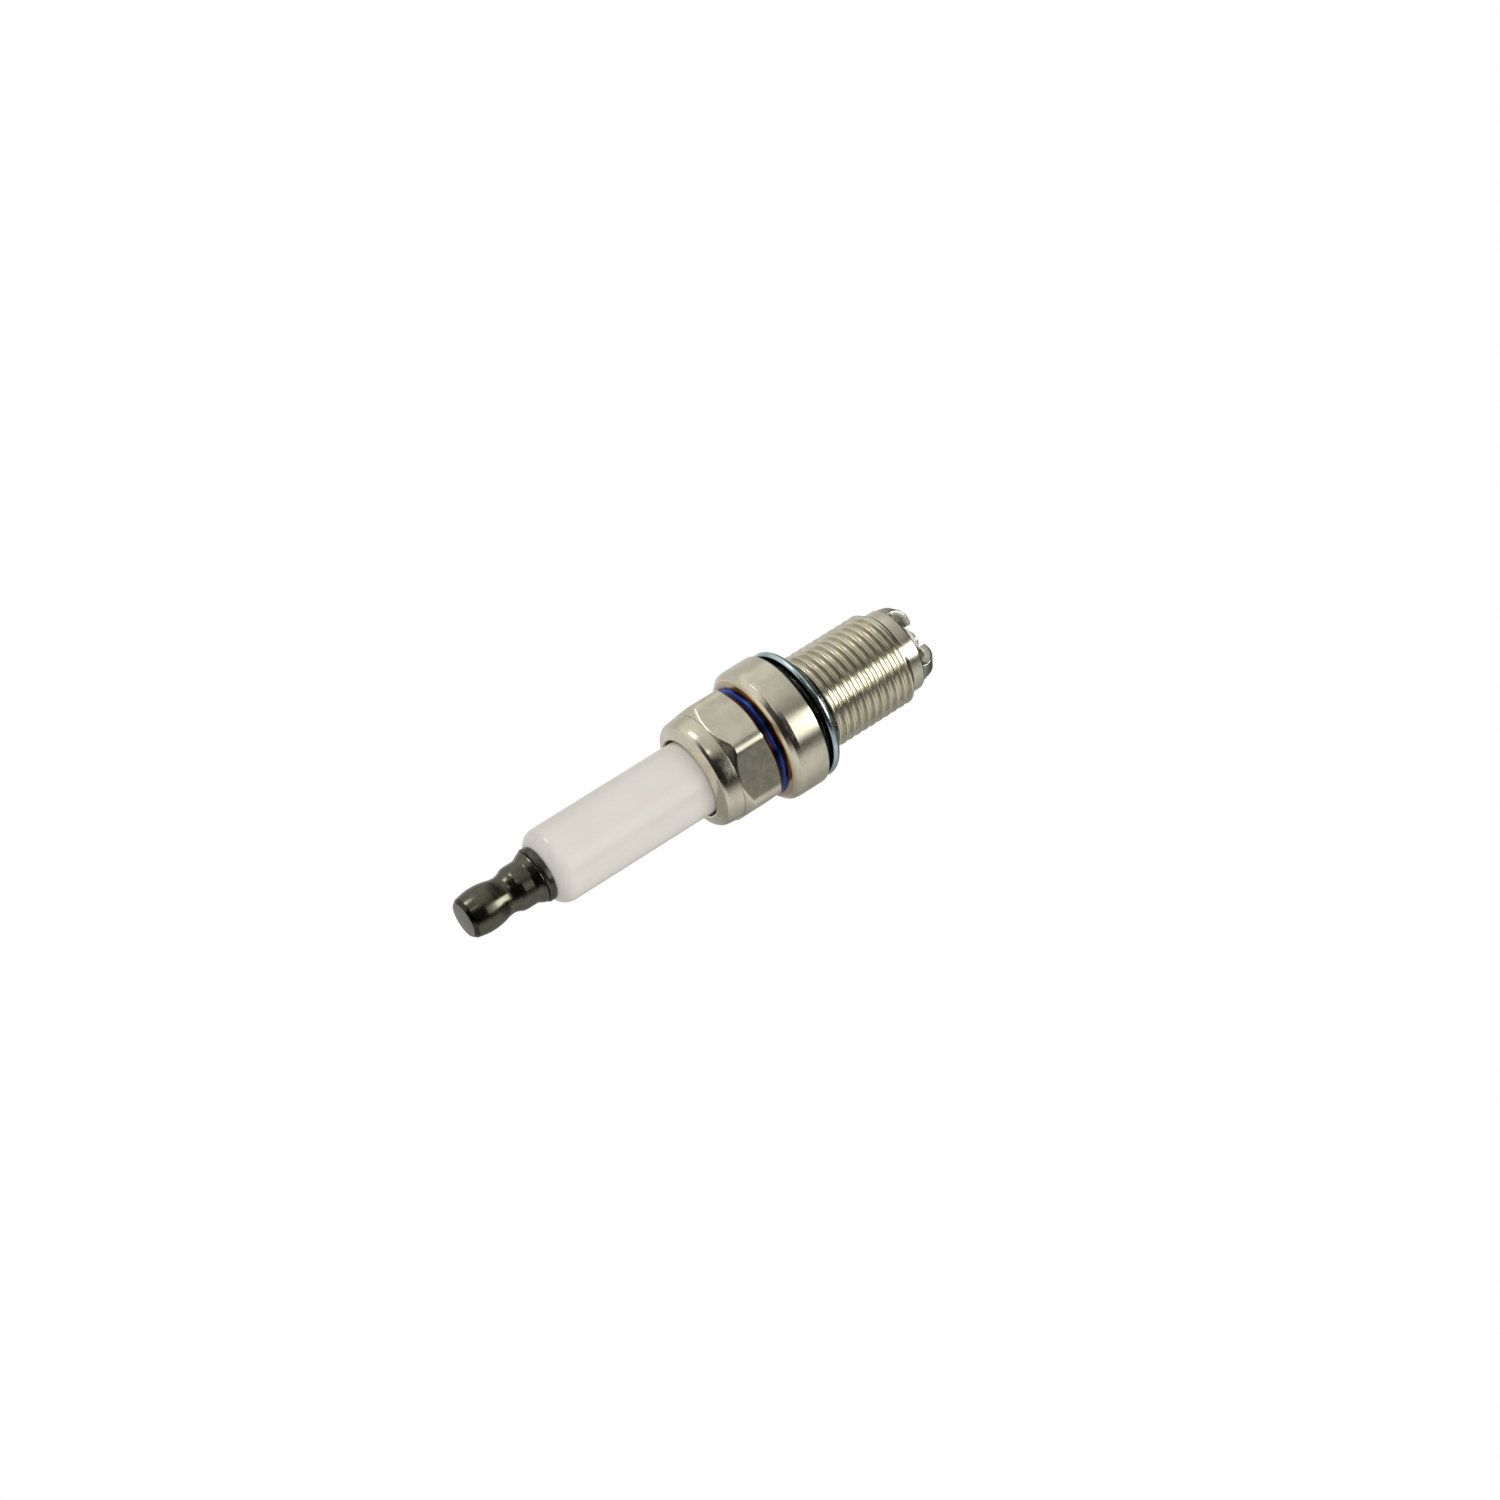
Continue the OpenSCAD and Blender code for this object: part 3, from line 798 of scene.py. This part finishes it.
def tent_glow(tree, x, y, z):
    """The tent's brightness in each direction, from its bright, dark, key and spot panels."""
    degrees = 180 / math.pi
    away = maths(tree, "ARCTAN2", maths(tree, "MULTIPLY", x, -1.0), maths(tree, "MULTIPLY", y, -1.0))
    turn = maths(tree, "SUBTRACT", maths(tree, "MULTIPLY", away, degrees), CAMERA_TURN)
    rise = maths(tree, "MULTIPLY", maths(tree, "ARCSINE", z), degrees)
    band = panel(tree, turn, rise, [
        (-180, 0.55), (-168, 0.68), (-150, 0.62), (-120, 0.55), (-100, 0.76), (-80, 0.72), (-60, 0.62),
        (-40, 0.59), (-30, 0.50), (-20, 0.40), (-10, 0.26), (0, 0.15), (42, 0.12), (50, 0.10), (55, 0.13),
        (62, 0.35), (72, 0.60), (90, 0.66), (110, 0.53), (130, 0.38), (150, 0.28), (170, 0.42), (180, 0.55),
    ], [
        (-90, 0.03), (-62, 0.05), (-46, 0.20), (-35, 0.38), (-27, 1.0), (0, 1.0), (40, 1.1), (75, 1.15),
        (90, 1.2),
    ])
    key = panel(tree, turn, rise, [
        (-7, 0.0), (-1, 0.22), (4, 0.6), (9, 0.9), (15, 1.0), (33, 1.0), (39, 0.62), (44, 0.08), (49, 0.0),
    ], [(-34, 0.0), (-29, 1.2), (-19, 1.2), (-14, 0.0)])
    under = panel(tree, turn, rise, [
        (1, 0.0), (8, 1.0), (33, 1.0), (41, 0.0),
    ], [(-62, 0.0), (-55, 6.5), (-34, 6.5), (-28, 0.0)])
    dark_high = panel(tree, turn, rise, [
        (-70, 0.0), (-44, 1.0), (46, 1.0), (66, 0.0),
    ], [(4, 0.0), (12, 1.0), (68, 1.0), (76, 0.0)])
    dark_low = panel(tree, turn, rise, [
        (-18, 0.0), (-4, 1.0), (44, 1.0), (56, 0.0),
    ], [(-68, 0.0), (-62, 1.0), (-32, 1.0), (-28, 0.0), (-18, 0.0), (-13, 1.0), (12, 1.0), (20, 0.0)])
    spots = panel(tree, turn, rise, [
        (-82, 0.0), (-76, 4.5), (-66, 4.5), (-60, 0.0), (-31, 0.0), (-26, 1.3), (-24, 1.3), (-19, 0.0),
    ], [(-3, 0.0), (2, 1.0), (10, 1.0), (15, 0.0)])
    dark = maths(tree, "MULTIPLY", maths(tree, "MAXIMUM", dark_high, dark_low), PANEL_DARKNESS)
    glow = maths(tree, "MULTIPLY", band, maths(tree, "SUBTRACT", 1.0, dark))
    for bright in (key, under, spots):
        glow = maths(tree, "ADD", glow, bright)
    return glow


def background(tree, colour, strength=None):
    node = tree.nodes.new("ShaderNodeBackground")
    node.inputs["Color"].default_value = colour
    if strength is not None:
        tree.links.new(strength, node.inputs["Strength"])
    return node.outputs[0]


def pick(tree, choice, otherwise, chosen):
    """One shader where the choice is 1, and another where it is 0."""
    node = tree.nodes.new("ShaderNodeMixShader")
    for socket, output in zip(node.inputs, (choice, otherwise, chosen)):
        tree.links.new(output, socket)
    return node.outputs[0]


def add_world():
    """A light tent: reflections see its panels, matt surfaces a soft light, and the camera plain white."""
    world = bpy.data.worlds.new("light_tent")
    bpy.context.scene.world = world
    world.use_nodes = True
    tree = world.node_tree
    tree.nodes.clear()
    place = tree.nodes.new("ShaderNodeTexCoord")
    axes = tree.nodes.new("ShaderNodeSeparateXYZ")
    tree.links.new(place.outputs["Generated"], axes.inputs[0])
    x, y, z = axes.outputs
    tent = background(tree, TENT_COLOUR, tent_glow(tree, x, y, z))
    slope = maths(tree, "MULTIPLY", x, SOFT_LIGHT_SLOPE)
    soft = background(tree, TENT_COLOUR, maths(tree, "ADD", SOFT_LIGHT, slope))
    path = tree.nodes.new("ShaderNodeLightPath")
    lit = pick(tree, path.outputs["Is Diffuse Ray"], tent, soft)
    seen = pick(tree, path.outputs["Is Camera Ray"], lit, background(tree, WHITE))
    output = tree.nodes.new("ShaderNodeOutputWorld")
    tree.links.new(seen, output.inputs["Surface"])


# ---------------------------------------------------------------- assembly
def finish_piece(piece, node, body, material):
    piece.data.materials.clear()
    piece.data.materials.append(material)
    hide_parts(node)
    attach(piece, body)


def dress_node(node, material):
    """Gives a CAD node that stays its own material."""
    mesh = frame["nodes"][node].data
    mesh.materials.clear()
    mesh.materials.append(material)


add_camera()
alloy = nickel_alloy()
finish_piece(shell_piece(), "shell", "plug", nickel_plate())
finish_piece(insulator_piece(), "insulator", "plug", glazed_alumina())
finish_piece(terminal_nut_piece(), "terminal_nut", "terminal_nut", dark_plate())
finish_piece(terminal_stud_piece(), "terminal_stud", "plug", stud_steel())
finish_piece(gasket_piece(), "gasket", "gasket", zinc_plate())
finish_piece(centre_electrode_piece(), "centre_electrode", "plug", alloy)
for number in range(1, STRAPS + 1):
    finish_piece(ground_electrode_piece(number), f"ground_electrode_{number}", "plug", alloy)

glass = inner_material("conductive_glass", (0.12, 0.07, 0.05), (0.30, 0.18, 0.12), 0.2, 0.35, 1.5)
ring_wire = inner_material("ring_steel", (0.35, 0.35, 0.34), (0.55, 0.55, 0.53), 1.0, 0.35, 2.0)
carbon = inner_material("carbon_glass", (0.02, 0.02, 0.02), (0.07, 0.065, 0.06), 0.0, 0.5, 2.0)
copper = inner_material("copper", (0.62, 0.28, 0.16), (0.80, 0.42, 0.28), 1.0, 0.3, 1.0)
washer_steel = inner_material("washer_steel", (0.45, 0.32, 0.24), (0.65, 0.48, 0.36), 1.0, 0.35, 1.5)
talc = inner_material("talc", (0.70, 0.67, 0.60), (0.86, 0.84, 0.78), 0.0, 0.95, 1.0)
dress_node("upper_glass_seal", glass)
dress_node("lower_glass_seal", glass)
dress_node("resistor", carbon)
dress_node("centre_electrode_core", copper)
dress_node("inner_seat_washer", washer_steel)
dress_node("lower_packing_ring", ring_wire)
dress_node("upper_packing_ring", ring_wire)
dress_node("talc_fill", talc)

add_stage()
add_world()
bpy.context.scene.view_settings.view_transform = "Standard"
